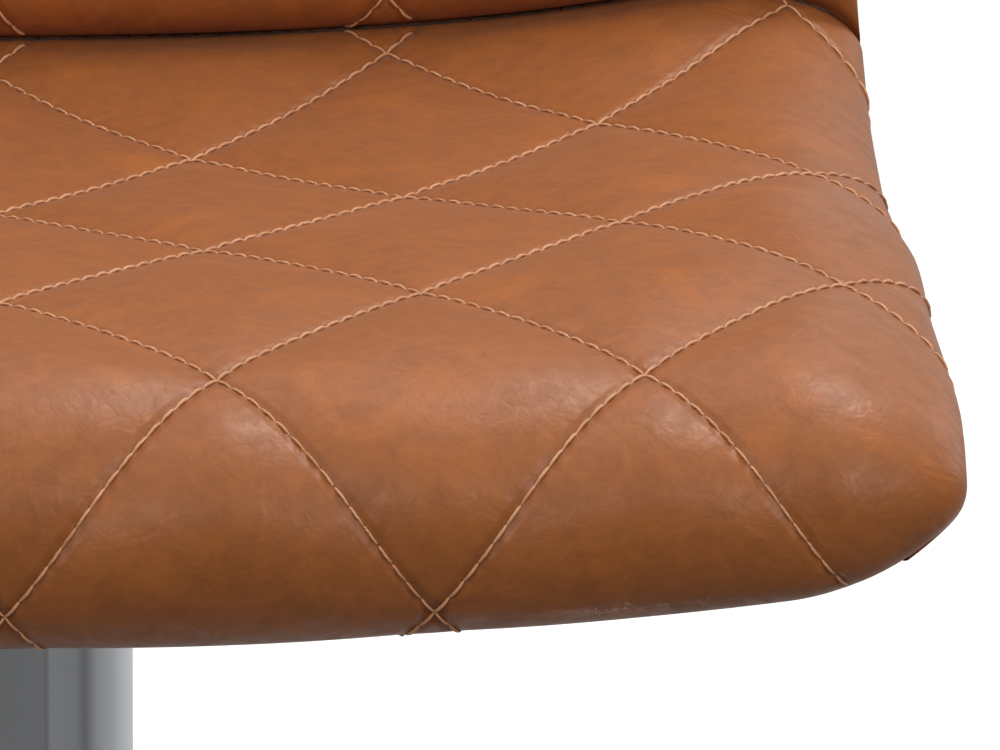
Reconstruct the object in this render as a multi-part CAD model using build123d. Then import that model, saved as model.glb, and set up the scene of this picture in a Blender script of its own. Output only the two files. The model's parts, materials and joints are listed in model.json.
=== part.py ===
"""Gas-lift bar stool with a padded seat and back, a trumpet base and a footrest loop.

Millimetres. The origin is on the floor on the column's axis, +Z is up and the seat faces -Y.
The stool is at rest with the seat at its lowest height.
"""
from build123d import *
import math
import os

# ---- driving dimensions -------------------------------------------------------------------
SEAT_Z = 600.0            # height of the seat's reference, near the middle of its top
SEAT_HALF_WIDTH = 222.0
BACK_TOP_HALF_WIDTH = 206.0
BACK_HEIGHT = 300.0       # top of the back above the seat's reference
CORNER_FRONT_R = 48.0     # plan radius of the seat's front corners
CORNER_TOP_R = 72.0       # radius of the back's top corners
FRONT_BOW = 12.0          # how far the front edge falls back at 200 mm from the middle
BACK_WRAP = 11.0          # how far the back comes forward at 200 mm from the middle
DISH = 8.6                # how far the seat's sides rise at 150 mm from the middle
SKIN = 1.4                # leather on its batting
PLY = 10.0                # moulded plywood
PLY_MARGIN = 30.0         # foam beyond the plywood's edge
GAP = 0.2                 # clearance between nested soft layers
UNDERSIDE = -34.0         # underside of the seat from its reference

BASE_R = 200.0
COLUMN_R = 25.0
COLUMN_WALL = 2.0
COLUMN_FOOT_Z = 16.0
COLUMN_TOP_Z = 498.0
FLOOR_PLATE_Z = 40.0      # the plate inside the column's foot that carries the bearing
LIFT_TUBE_R = 14.0
LIFT_TUBE_WALL = 1.5
LIFT_TUBE_Z = 78.0
LIFT_TOP_Z = 538.0
ROD_R = 5.0
PISTON_Z = 304.0
COVER_R = 33.2
COVER_WALL = 1.5
COVER_Z = 284.0
HOUSING_Z = 522.0         # underside of the lift housing
BALL_R = 2.5
BALL_PITCH_R = 13.0
BALL_Z = 48.3
BALLS = 10

FOOTREST_Z = 256.0
FOOTREST_R = 11.0
FOOTREST_WALL = 1.5
CLAMP_R = 33.0
CLAMP_HEIGHT = 40.0

PLATE_SIDE = 172.0
PLATE_T = 2.5
BOLT_SPACING = 140.0
BOLT_R = 3.0
LEVER_PIVOT_X = -38.0
LEVER_Z = 549.0
LEVER_R = 4.0
NOSE_R = 4.3              # the lever's nose over the release pin
GRIP_Z = 535.0

RUNNING = 0.05            # radial clearance of a running fit
PLATE_TOP = SEAT_Z + UNDERSIDE - GAP
PLATE_BOTTOM = PLATE_TOP - PLATE_T
UP = (Align.CENTER, Align.CENTER, Align.MIN)

# ---- the pad's side profile at the middle, (y, z) from the seat's reference ----------------
SEAT_TOP = [
    (-186, -54), (-198, -44), (-204.5, -27), (-199, -11), (-180, 3), (-140, 9.5),
    (-70, 10.5), (40, 5.5), (120, 6), (165, 12.5),
]
CREASE = (186, 19.5)
BACK = [
    CREASE, (177, 31), (178, 55), (188, 110), (204, 180), (222, 250), (231, 284), (238, 295),
    (249, 300), (261, 296), (267, 284), (261, 250), (246, 185), (231, 120), (222, 75), (209, 25),
    (183, -13), (150, -29),
]
REAR_START = 10           # where the rear line starts in BACK
FLAT = [(110, UNDERSIDE)]
LIP = [(-110, UNDERSIDE), (-145, -37), (-168, -44)]
RUNS = [len(SEAT_TOP), len(BACK), len(FLAT), len(LIP)]


def ring(r_in, r_out, z_low, z_high):
    """A plain ring about the column's axis."""
    low, high = Vector(r_in, 0, z_low), Vector(r_out, 0, z_high)
    corners = [low, Vector(high.X, 0, low.Z), high, Vector(low.X, 0, high.Z)]
    return revolve(make_face(Polyline(*corners, close=True)), Axis.Z)


def turned(points):
    """A turned piece from its half section, a list of (radius, z)."""
    return revolve(make_face(Polyline(*[(r, 0, z) for r, z in points], close=True)), Axis.Z)


def rod_z(x, y, r, z_low, z_high):
    return Pos(x, y, z_low) * Cylinder(r, z_high - z_low, align=UP)


def rod_y(x, z, r, y_low, y_high):
    return Pos(x, y_low, z) * (Rot(-90, 0, 0) * Cylinder(r, y_high - y_low, align=UP))


def rod_x(y, z, r, x_low, x_high):
    return Pos(x_low, y, z) * (Rot(0, 90, 0) * Cylinder(r, x_high - x_low, align=UP))


def block(x_low, x_high, y_low, y_high, z_low, z_high):
    size = Box(x_high - x_low, y_high - y_low, z_high - z_low, align=(Align.MIN,) * 3)
    return Pos(x_low, y_low, z_low) * size


def smooth(low, high, value):
    t = min(max((value - low) / (high - low), 0.0), 1.0)
    return t * t * (3 - 2 * t)


# ---- padded seat and back -------------------------------------------------------------------
def profile(x):
    """The pad's closed side profile at x: the dished seat, the wrapped back and the underside."""
    rise, wrap = DISH * (x / 150.0) ** 2, BACK_WRAP * (x / 200.0) ** 2
    loop = [(y, z + rise * smooth(-190, 60, y)) for y, z in SEAT_TOP]
    for i, (y, z) in enumerate(BACK):
        loop.append((y, z + rise * (1 - smooth(0, 200, z)) * (i < REAR_START)))
    loop += FLAT + LIP
    return [(y - wrap * smooth(110, 185, y) * (1 + 0.4 * smooth(0, 300, z)), z) for y, z in loop]


def inset(loop, distance):
    """The closed loop moved inwards by distance, each corner on its mitre."""
    moved = []
    for i, (y, z) in enumerate(loop):
        before, after = loop[i - 1], loop[(i + 1) % len(loop)]
        first = Vector(y - before[0], z - before[1]).normalized()
        second = Vector(after[0] - y, after[1] - z).normalized()
        n1, n2 = Vector(first.Y, -first.X), Vector(second.Y, -second.X)
        mitre = (n1 + n2) * (distance / (1 + n1.dot(n2)))
        moved.append((y + mitre.X, z + mitre.Y))
    return moved


def lines(x, distance):
    """The profile's lines at x, distance inside the skin: seat, back and rear, flat, lip."""
    loop = [(x, y, SEAT_Z + z) for y, z in inset(profile(x), distance)]
    loop.append(loop[0])
    starts = [sum(RUNS[:i]) for i in range(len(RUNS) + 1)]
    return [loop[low:high + 1] for low, high in zip(starts, starts[1:])]


def outline(depth):
    """A tool that trims the pad to its plan and front outlines, depth inside them."""
    half, front = SEAT_HALF_WIDTH - depth, -210.0 + depth
    corner_y = front + FRONT_BOW * (half / 200.0) ** 2
    bow = ThreePointArc((-half, corner_y), (0, front), (half, corner_y))
    sides = Polyline((half, corner_y), (half, 320), (-half, 320), (-half, corner_y))
    plan = make_face([bow, *sides.edges()])
    plan = fillet(plan.vertices().sort_by(Axis.Y)[:2], CORNER_FRONT_R - depth)
    top_half, top = BACK_TOP_HALF_WIDTH - depth, BACK_HEIGHT + 5 - depth
    wide = half + 3
    front_view = Polyline(
        (-wide, -90), (wide, -90), (wide, 20), (top_half, top), (-top_half, top), (-wide, 20),
        close=True,
    )
    face = make_face(front_view)
    face = fillet(face.vertices().sort_by(Axis.Y)[-2:], CORNER_TOP_R - depth)
    column = Pos(0, 0, SEAT_Z - 90) * extrude(plan, 420)
    slab = Pos(0, 330, SEAT_Z) * extrude(Plane.XZ * face, 640)
    return column & slab


def envelope(depth):
    """The whole pad, depth inside its outer skin, thinner towards its side edges."""
    wires = []
    for x, thinner in ((-232, 13), (-196, 1), (-110, 0), (0, 0), (110, 0), (196, 1), (232, 13)):
        wires.append(Wire([
            edge for run in lines(x, depth + thinner)
            for edge in [Spline(*run) if len(run) > 2 else Line(*run)]
        ]))
    return Solid.make_loft(wires) & outline(depth)


def plywood(low, high, margin):
    """The moulded L between two depths of the rear and underside lines."""
    wires = []
    for x in (-232, -116, 0, 116, 232):
        outer, inner = lines(x, low)[1:], lines(x, high)[1:]
        outer[0], inner[0] = outer[0][REAR_START:], inner[0][REAR_START:]
        outer[-1], inner[-1] = outer[-1][:-1], inner[-1][:-1]
        edges = [Spline(*outer[0]), Line(*outer[1]), Spline(*outer[2])]
        edges += [Line(outer[2][-1], inner[2][-1]), Spline(*reversed(inner[2]))]
        edges += [Line(*reversed(inner[1])), Spline(*reversed(inner[0]))]
        edges.append(Line(inner[0][0], outer[0][0]))
        wires.append(Wire(edges))
    return Solid.make_loft(wires) & outline(margin)


def seat_side():
    """Everything in front of and below the sewn crease between the seat and the back."""
    wires = []
    for x in (-240, -120, 0, 120, 240):
        crease = Vector(lines(x, 0)[1][0]) + Vector(0, 1.2, 0.8)
        corners = [
            crease, crease + Vector(0, 26, -60), crease + Vector(0, 26, -200),
            Vector(x, -320, SEAT_Z - 200), Vector(x, -320, SEAT_Z + 160),
        ]
        wires.append(Wire(Polyline(*corners, close=True).edges()))
    return Solid.make_loft(wires)


def bolt_places():
    half = BOLT_SPACING / 2
    return [(x, y) for x in (-half, half) for y in (-half, half)]


def at_bolts(r, z_low, z_high):
    return Part() + [rod_z(x, y, r, z_low, z_high) for x, y in bolt_places()]


PLY_LOW = SKIN + 1.6
PLY_HIGH = PLY_LOW + PLY
PLY_BOTTOM_Z = SEAT_Z + UNDERSIDE + PLY_LOW
PLY_TOP_Z = PLY_BOTTOM_Z + PLY
UNDER_FRONT_Y = -108.0    # the leather turned under the seat ends here, and at the rear here
UNDER_REAR_Y = 104.0
UNDERSIDE_WRAP = 30.0     # leather turned under the seat's side edges
PANEL_MARGIN = 11.0       # how far the rear panel lies inside the back's outline


def pad_nodes():
    outer, core, seat = envelope(0), envelope(SKIN), seat_side()
    skin = outer - core
    under_z = SEAT_Z + UNDERSIDE
    under_half = SEAT_HALF_WIDTH - UNDERSIDE_WRAP
    opening = block(-under_half, under_half, UNDER_FRONT_Y, UNDER_REAR_Y, under_z - 30, under_z + 3)
    behind = block(-300, 300, UNDER_REAR_Y, 400, under_z - 30, SEAT_Z + BACK_HEIGHT - 22)
    panel_zone = plywood(-5, 5, PANEL_MARGIN) & behind
    ply = plywood(PLY_LOW, PLY_HIGH, PLY_MARGIN) - at_bolts(4.2, under_z, PLY_TOP_Z + 2)
    inside = envelope(SKIN + GAP) - plywood(-5, PLY_HIGH + GAP, PLY_MARGIN - GAP)
    inside -= at_bolts(10.5, under_z, PLY_TOP_Z + 9)
    wrap = skin - panel_zone
    dust_length = UNDER_REAR_Y - UNDER_FRONT_Y - 1
    dust = extrude(RectangleRounded(2 * under_half - 1, dust_length, 12), 1.0)
    dust_cover = Pos(0, (UNDER_REAR_Y + UNDER_FRONT_Y) / 2, under_z + 0.1) * dust
    return {
        "seat_cover": (wrap & seat) - opening,
        "back_cover": wrap - seat,
        "back_panel": skin & panel_zone,
        "seat_foam": inside & seat,
        "back_foam": inside - seat,
        "seat_shell": ply,
        "dust_cover": dust_cover - at_bolts(3.4, under_z - 1, under_z + 3),
    }


# ---- seat plate, lift housing and lever --------------------------------------------------------
def seat_plate():
    """Flange and pressed housing in one welded piece, with the lever's lugs."""
    flange = Pos(0, 0, PLATE_BOTTOM) * extrude(RectangleRounded(PLATE_SIDE, PLATE_SIDE, 16), PLATE_T)
    shell = extrude(RectangleRounded(90, 124, 10), PLATE_BOTTOM - HOUSING_Z)
    hollow = extrude(RectangleRounded(85, 119, 8), PLATE_BOTTOM - HOUSING_Z - PLATE_T)
    housing = Pos(0, 0, HOUSING_Z) * shell - Pos(0, 0, HOUSING_Z + PLATE_T) * hollow
    lug_x = (LEVER_PIVOT_X - 6, LEVER_PIVOT_X + 6)
    lugs = block(*lug_x, 8, 11, HOUSING_Z + 1, LEVER_Z + 7)
    lugs += block(*lug_x, -11, -8, HOUSING_Z + 1, LEVER_Z + 7)
    plate = flange + housing + (lugs - rod_y(LEVER_PIVOT_X, LEVER_Z, 2.5 + RUNNING, -20, 20))
    plate -= rod_z(0, 0, 19.05, HOUSING_Z - 1, HOUSING_Z + 5)
    plate -= block(-50, -38, -9, 9, LEVER_Z - 8, LEVER_Z + 8)
    return plate - at_bolts(BOLT_R + 0.3, PLATE_BOTTOM - 1, PLATE_TOP + 1)


def taper_socket():
    return turned([(14.05, 503), (19, 503), (19, 542), (13.35, 542), (13.35, LIFT_TOP_Z)])


def plate_bolts():
    """Button-head bolts up through the plate, with a socket in each head."""
    head_z = PLATE_BOTTOM - 1.2 - 3.8
    bolts = []
    for x, y in bolt_places():
        head = rod_z(x, y, 5.8, head_z, head_z + 3.8)
        head = fillet(head.edges().filter_by(GeomType.CIRCLE).sort_by(Axis.Z)[0], 1.8)
        socket = Pos(x, y, head_z) * extrude(RegularPolygon(2.3, 6), 2.2)
        bolts.append(head + rod_z(x, y, BOLT_R - RUNNING, head_z + 3, PLY_TOP_Z + 3) - socket)
    return Part() + bolts


def plate_washers():
    washer = at_bolts(7.2, PLATE_BOTTOM - 1.2, PLATE_BOTTOM)
    return washer - at_bolts(BOLT_R + 0.2, PLATE_BOTTOM - 3, PLATE_BOTTOM + 1)


def tee_nuts():
    nut = at_bolts(4.1, PLY_BOTTOM_Z + 0.6, PLY_TOP_Z + 0.3) + at_bolts(9.5, PLY_TOP_Z + 0.2, PLY_TOP_Z + 1.6)
    return nut - at_bolts(BOLT_R, PLY_BOTTOM_Z - 5, PLY_TOP_Z + 5)


def lever_rod():
    """The bent rod, its pivot boss and the round nose that presses the valve."""
    route = [(-1, LEVER_Z), (-62, LEVER_Z), (-104, GRIP_Z), (-208, GRIP_Z)]
    path = FilletPolyline(*[(x, 0, z) for x, z in route], radius=24)
    section = Plane(origin=path @ 0, z_dir=path % 0) * Circle(LEVER_R)
    boss = rod_y(LEVER_PIVOT_X, LEVER_Z, 6.2, -7.6, 7.6)
    tip = rod_y(0, LEVER_Z, NOSE_R, -4.5, 4.5)
    return sweep(section, path) + boss + tip - rod_y(LEVER_PIVOT_X, LEVER_Z, 2.5 + RUNNING, -20, 20)


def lever_grip():
    grip = Pos(-214, 0, GRIP_Z) * Rot(0, 90, 0) * extrude(RectangleRounded(13, 17, 5.5), 58)
    grip = fillet(grip.edges().group_by(Axis.X)[0], 3)
    return grip - rod_x(0, GRIP_Z, LEVER_R + RUNNING, -208.2, -150)


# ---- gas lift -----------------------------------------------------------------------------------
def pressure_tube():
    r_in = LIFT_TUBE_R - LIFT_TUBE_WALL
    return turned([
        (r_in, LIFT_TUBE_Z), (LIFT_TUBE_R, LIFT_TUBE_Z), (LIFT_TUBE_R, 503), (13.3, LIFT_TOP_Z),
        (8, LIFT_TOP_Z), (8, LIFT_TOP_Z - 2), (12.2, LIFT_TOP_Z - 2), (r_in, 503),
    ])


def valve_body():
    body = turned([(2.6, 500), (12.1, 500), (12.1, LIFT_TOP_Z - 2.1), (2.6, LIFT_TOP_Z - 2.1)])
    return body - ring(11.2, 13, 512, 514)


def release_pin():
    top = LEVER_Z - NOSE_R - RUNNING
    return rod_z(0, 0, 2.5, 504, top - 1) + rod_z(0, 0, 4.5, top - 2, top)


def gland():
    z = LIFT_TUBE_Z
    return turned([(ROD_R + RUNNING, z), (12.4, z), (12.4, z + 20), (9, z + 20), (ROD_R + RUNNING, z + 17)])


def piston_rod():
    rod = rod_z(0, 0, ROD_R, 27, PISTON_Z) + rod_z(0, 0, 4, PISTON_Z - 1, PISTON_Z + 20)
    return rod - ring(4, 7, 36.6, 38.2)


def piston():
    z = PISTON_Z
    return turned([
        (4.05, z + 0.1), (12.2, z + 0.1), (12.2, z + 6), (10.5, z + 6), (10.5, z + 11),
        (12.2, z + 11), (12.2, z + 18), (4.05, z + 18),
    ])


def rod_clip():
    clip = ring(4.05, 8.5, 36.7, 38.1)
    return clip - block(0, 12, -3, 3, 36, 39)


def race(z_low, z_high, r_in, r_out):
    groove = Pos(0, 0, BALL_Z) * Torus(BALL_PITCH_R, BALL_R + RUNNING)
    return ring(r_in, r_out, z_low, z_high) - groove


def ball_places():
    return PolarLocations(BALL_PITCH_R, BALLS)


def bearing_balls():
    return Part() + [Pos(0, 0, BALL_Z) * place * Sphere(BALL_R) for place in ball_places()]


def ball_cage():
    cage = ring(9.5, 16.5, BALL_Z - 0.6, BALL_Z + 0.6)
    return cage - [Pos(0, 0, BALL_Z) * place * Cylinder(BALL_R + 0.1, 4) for place in ball_places()]


# ---- column, base and footrest --------------------------------------------------------------------
def column_tube():
    r_in, foot_r = COLUMN_R - COLUMN_WALL, COLUMN_R - 0.8
    plate = FLOOR_PLATE_Z
    return turned([
        (foot_r - 2, COLUMN_FOOT_Z), (foot_r, COLUMN_FOOT_Z), (COLUMN_R, 60), (COLUMN_R, COLUMN_TOP_Z),
        (r_in, COLUMN_TOP_Z), (r_in, plate + 4), (ROD_R + 0.3, plate + 4), (ROD_R + 0.3, plate),
        (foot_r - 2, plate),
    ])


def guide_bush():
    bore, top = LIFT_TUBE_R + RUNNING, COLUMN_TOP_Z
    body_r = COLUMN_R - COLUMN_WALL - 0.05
    return turned([(bore, 420), (body_r, 420), (body_r, top + 0.05), (COLUMN_R, top + 0.05),
                   (COLUMN_R, top + 2), (bore, top + 2)])


def base_hub():
    bore_low, bore_high = COLUMN_R - 0.75, COLUMN_R + 0.05
    hub = turned([(bore_low, 12.1), (36, 12.1), (36, 20), (33, 24), (33, 58), (31, 60),
                  (bore_high, 60), (bore_low, COLUMN_FOOT_Z)])
    return hub - around(29.5, 3.05, 11, 27)


def around(pitch_r, r, z_low, z_high):
    return Part() + [place * rod_z(0, 0, r, z_low, z_high) for place in PolarLocations(pitch_r, 4)]


def hub_screws():
    """Countersunk screws up through the weight into the hub."""
    low = 4.3
    cone = turned([(0, low), (6, low), (3, low + 3), (0, low + 3)])
    drive = Pos(0, 0, low) * extrude(RegularPolygon(2, 6), 1.8)
    screw = cone + rod_z(0, 0, 3, low + 2.9, 26) - drive
    return Part() + [place * screw for place in PolarLocations(29.5, 4)]


def base_weight():
    disc = ring(21, 181, 4.1, 12) - around(29.5, 3.2, 3, 13)
    sink = turned([(0, 4), (6.4, 4), (3.2, 7.4), (0, 7.4)])
    return disc - [place * sink for place in PolarLocations(29.5, 4)]


def trumpet(depth):
    """The base cover's outer line, (radius, z), moved in by depth."""
    rim, neck = BASE_R - depth, 31.5 - depth
    return [
        (rim, 4.7), (rim, 9), (rim - 3.5, 13.4 - depth), (rim - 16, 16.6 - depth),
        (150 - depth * 0.5, 21.5 - depth), (100 - depth * 0.5, 30.5 - depth * 0.9),
        (66 - depth * 0.7, 45 - depth * 0.7), (45 - depth * 0.9, 65 - depth * 0.4), (neck, 96),
    ]


def base_cover():
    outer, inner = trumpet(0), trumpet(1.4)
    lines = [(r, 0, z) for r, z in outer], [(r, 0, z) for r, z in inner]
    out_edge = [Line(lines[0][0], lines[0][1]), Spline(*lines[0][1:])]
    in_edge = [Spline(*lines[1][1:]), Line(lines[1][0], lines[1][1])]
    ends = [Line(lines[0][-1], lines[1][-1]), Line(lines[1][0], lines[0][0])]
    return revolve(make_face([*out_edge, ends[0], *in_edge, ends[1]]), Axis.Z)


def column_collar():
    bore = COLUMN_R + 0.1
    return turned([(bore, 86), (29.8, 86), (29.8, 96.2), (32, 96.2), (32.5, 97.5), (32.5, 101),
                   (30.5, 103.5), (bore, 103.5)])


def footrest_loop():
    """One tube bent into a loop, its two ends saddled on the clamp."""
    half = [(22, -25), (128, -54), (134, -176), (60, -200)]
    points = half + [(-x, y) for x, y in reversed(half)]
    path = FilletPolyline(*[(x, y, FOOTREST_Z) for x, y in points], radius=52)
    section = Plane(origin=path @ 0, z_dir=path % 0) * Circle(FOOTREST_R)
    hollow = Plane(origin=path @ 0, z_dir=path % 0) * Circle(FOOTREST_R - FOOTREST_WALL)
    tube = sweep(section, path) - sweep(hollow, path)
    return tube - rod_z(0, 0, CLAMP_R + 0.02, FOOTREST_Z - 40, FOOTREST_Z + 40)


CLAMP_LOW = FOOTREST_Z - CLAMP_HEIGHT / 2
CLAMP_HIGH = FOOTREST_Z + CLAMP_HEIGHT / 2
CLAMP_BOLTS = [(x, z) for x in (-43, 43) for z in (FOOTREST_Z - 10, FOOTREST_Z + 10)]


def clamp_half(side):
    """Half of the footrest's collar with its two ears; side is -1 in front and 1 behind."""
    barrel = ring(26.7, CLAMP_R, CLAMP_LOW, CLAMP_HIGH)
    near, far = sorted((side * 1.2, side * 7.2))
    ears = block(-52, 52, near, far, CLAMP_LOW, CLAMP_HIGH) - rod_z(0, 0, 30, 0, 400)
    keep = block(-60, 60, *sorted((side * 1.2, side * 60)), 0, 400)
    hole = BOLT_R + 0.3 if side > 0 else BOLT_R
    half = (barrel & keep) + ears
    return half - [rod_y(x, z, hole, -20, 20) for x, z in CLAMP_BOLTS]


def footrest_screws():
    screws = []
    for x, z in CLAMP_BOLTS:
        head = rod_y(x, z, 5, 7.3, 12.3) - Pos(x, 12.3, z) * (
            Rot(90, 0, 0) * extrude(RegularPolygon(2.5, 6), 3))
        screws.append(head + rod_y(x, z, BOLT_R - RUNNING, -7, 8))
    return Part() + screws


def cover_cap():
    plug, rim = COVER_R - COVER_WALL - 0.1, COVER_R - 0.1
    return turned([(19.15, 511), (plug, 511), (plug, 519), (rim, 519.2), (rim, 521.8), (19.15, 521.8)])


def nodes():
    cover_in = COVER_R - COVER_WALL
    made = {
        "floor_pad": rod_z(0, 0, 193, 0, 4),
        "floor_ring": turned([(193.6, 0), (199.4, 0), (200, 1), (200, 4.6), (193.6, 4.6)]),
        "base_weight": base_weight(),
        "base_hub": base_hub(),
        "hub_screws": hub_screws(),
        "base_cover": base_cover(),
        "column_tube": column_tube(),
        "column_collar": column_collar(),
        "guide_bush": guide_bush(),
        "bearing_lower_race": race(44.05, 47.2, 7, 21.5),
        "footrest_loop": footrest_loop(),
        "footrest_clamp_front": clamp_half(-1),
        "footrest_clamp_rear": clamp_half(1),
        "clamp_liner": ring(COLUMN_R + 0.05, 26.65, CLAMP_LOW, CLAMP_HIGH),
        "footrest_screws": footrest_screws(),
        "bearing_balls": bearing_balls(),
        "ball_cage": ball_cage(),
        "piston_rod": piston_rod(),
        "piston": piston(),
        "piston_ring": ring(10.55, 12.44, PISTON_Z + 6.1, PISTON_Z + 10.9),
        "bearing_upper_race": race(49.4, 52.4, ROD_R + RUNNING, 19),
        "rod_washer": ring(ROD_R + RUNNING, 10, 38.2, 39.8),
        "rod_clip": rod_clip(),
        "rubber_buffer": ring(ROD_R + RUNNING, 13.5, 52.5, LIFT_TUBE_Z - 0.5),
        "pressure_tube": pressure_tube(),
        "gland": gland(),
        "valve_body": valve_body(),
        "cover_tube": ring(cover_in, COVER_R, COVER_Z, 519),
        "cover_cap": cover_cap(),
        "sleeve_glide": ring(COLUMN_R + 0.06, cover_in - 0.05, COVER_Z, COVER_Z + 12),
        "seat_plate": seat_plate(),
        "taper_socket": taper_socket(),
        "plate_bolts": plate_bolts(),
        "plate_washers": plate_washers(),
        "tee_nuts": tee_nuts(),
        "lever_pin": rod_y(LEVER_PIVOT_X, LEVER_Z, 2.5, -12, 12),
        "lever_rod": lever_rod(),
        "lever_grip": lever_grip(),
        "release_pin": release_pin(),
    }
    made.update(pad_nodes())
    return made


os.makedirs("parts", exist_ok=True)
for name, shape in nodes().items():
    export_step(shape, f"parts/{name}.step")
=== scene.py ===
"""Looks of the gas-lift bar stool: quilted leather seat and back, chrome lift, base and footrest.

Lengths in the shape code are millimetres from the seat's reference, a point on the column's axis near
the middle of the seat's top; meshes are made in metres in the row frame. On the flat leather, a is across
and b is along the seat, with the front negative; c is up the back from the crease.
"""
import json
import math

import bpy
import numpy as np
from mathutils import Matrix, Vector
from mathutils.bvhtree import BVHTree
from mathutils.interpolate import poly_3d_calc


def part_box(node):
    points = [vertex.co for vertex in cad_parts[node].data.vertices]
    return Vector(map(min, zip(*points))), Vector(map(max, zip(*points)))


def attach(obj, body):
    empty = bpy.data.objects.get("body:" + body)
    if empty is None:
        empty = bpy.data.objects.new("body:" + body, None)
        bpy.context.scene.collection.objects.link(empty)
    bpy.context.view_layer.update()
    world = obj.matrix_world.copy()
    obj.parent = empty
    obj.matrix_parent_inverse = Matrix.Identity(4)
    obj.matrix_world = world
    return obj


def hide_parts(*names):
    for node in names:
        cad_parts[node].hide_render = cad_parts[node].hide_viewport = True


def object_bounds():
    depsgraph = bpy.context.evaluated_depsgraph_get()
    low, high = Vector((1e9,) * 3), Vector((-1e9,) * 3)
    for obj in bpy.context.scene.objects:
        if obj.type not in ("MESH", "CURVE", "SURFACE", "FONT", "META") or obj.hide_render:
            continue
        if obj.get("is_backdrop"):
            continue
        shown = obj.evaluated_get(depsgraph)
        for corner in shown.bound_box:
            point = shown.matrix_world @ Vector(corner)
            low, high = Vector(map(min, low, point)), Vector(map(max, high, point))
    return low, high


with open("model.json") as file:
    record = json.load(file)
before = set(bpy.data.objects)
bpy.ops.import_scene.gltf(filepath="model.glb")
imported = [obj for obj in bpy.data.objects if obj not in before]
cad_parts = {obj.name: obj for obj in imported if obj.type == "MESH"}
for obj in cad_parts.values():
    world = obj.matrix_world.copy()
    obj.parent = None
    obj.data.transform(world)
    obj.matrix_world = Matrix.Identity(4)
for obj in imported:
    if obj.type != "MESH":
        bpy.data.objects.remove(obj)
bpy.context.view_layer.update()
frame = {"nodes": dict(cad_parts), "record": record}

NODES = frame["nodes"]
SLOTS = {part["node"]: part["material_slot"] for part in frame["record"]["subparts"]}

# ---- sizes worked out from the frame -----------------------------------------------------------
MM = 0.001
UNDERSIDE = -34.0                                    # underside of the seat, from its reference
CLOTH_GAP = 0.1           # the dust cover's lowest face is this far above the leather's underside
SEAT_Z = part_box("dust_cover")[0].z / MM - CLOTH_GAP - UNDERSIDE
HALF_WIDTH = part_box("seat_cover")[1].x / MM

# ---- the leather's shape ------------------------------------------------------------------------
GRID = 2.0                # spacing of the leather's grid
DIAMOND_W, DIAMOND_L = 100.0, 138.0                  # one quilted diamond, across and along
QUILT_A, QUILT_B = 50.0, -171.0                      # a crossing of two lines, across and along
LINE_GAP = DIAMOND_W * DIAMOND_L / math.hypot(DIAMOND_W, DIAMOND_L)
CELL_RUN = math.hypot(DIAMOND_W, DIAMOND_L) / 2      # length of one diamond's side
PUFF = 3.8                # how far the leather rises between the stitch lines
PUFF_W = 31.0             # how far from a stitch line the rise goes on
PITCH = 5.68              # wanted stitch length
STITCHES = round(CELL_RUN / PITCH)                   # stitches along one diamond's side
THREAD_R = 0.43
THREAD_OVER = -25.0       # the quilting goes on this far over the edge
HOLES_OVER = THREAD_OVER - 2.0                       # and the painted holes, with the grooves' painted shade, a little further
BOW_AT = 200.0            # bows and wraps are measured this far from the middle
FRONT_EDGE, FRONT_BOW, FRONT_R = -254.0, 15.0, 42.0
FRONT_FLARE = 3.0         # the front is this much wider to each side than the middle
REAR_HALF = 219.0         # half width of the seat's rear
CORNER_RUN, CORNER_X = 62.0, 170.0                   # extent of a front corner, along and across
CORNER_BARE = 3.0         # the corner's stitching stops this far from the edge
ROLL_W, ROLL_H = 46.0, 19.0                          # the rounded edge, across and down
CREASE_B, CREASE_BOW = 192.0, 12.5
CREASE_SOFT = 4.0         # the leather sinks towards the crease's stitches over this length
CREASE_DROP, CREASE_DRAW = 0.7, 0.008                # how deep, and how much narrower as a share
BACK_LENGTH, BACK_TOP_HALF, BACK_R = 295.0, 203.0, 74.0
BACK_WRAP = 11.0          # how far the rear's sides come forward at the crease
BACK_FILL = 2.5           # fullness of the pad above the crease
BISECTOR = math.radians(-68.0)                       # direction into the crease


def smooth(low, high, value):
    """0 at low, 1 at high, with level ends; low may be the larger."""
    t = np.clip((value - low) / (high - low), 0, 1)
    return t * t * (3 - 2 * t)


class Line:
    """A side profile from its slope at a few lengths: (length, slope in degrees), smoothed."""

    STEP = 0.5

    def __init__(self, knots, blur, start, start_length):
        knots = np.array(knots, float)
        self.s = np.arange(knots[0, 0], knots[-1, 0] + self.STEP / 2, self.STEP)
        slope = np.interp(self.s, knots[:, 0], knots[:, 1])
        width = int(blur / self.STEP)
        kernel = np.hanning(width + 2)
        padded = np.pad(slope, width, mode="edge")
        slope = np.convolve(padded, kernel / kernel.sum(), mode="same")[width:-width]
        self.slope = np.radians(slope)
        step = (self.slope[1:] + self.slope[:-1]) / 2
        self.y = np.concatenate([[0], np.cumsum(np.cos(step) * self.STEP)])
        self.z = np.concatenate([[0], np.cumsum(np.sin(step) * self.STEP)])
        self.y += start[0] - np.interp(start_length, self.s, self.y)
        self.z += start[1] - np.interp(start_length, self.s, self.z)

    def at(self, s):
        """(y, z, slope in radians) at a length."""
        return (np.interp(s, self.s, self.y), np.interp(s, self.s, self.z),
                np.interp(s, self.s, self.slope))


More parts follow.
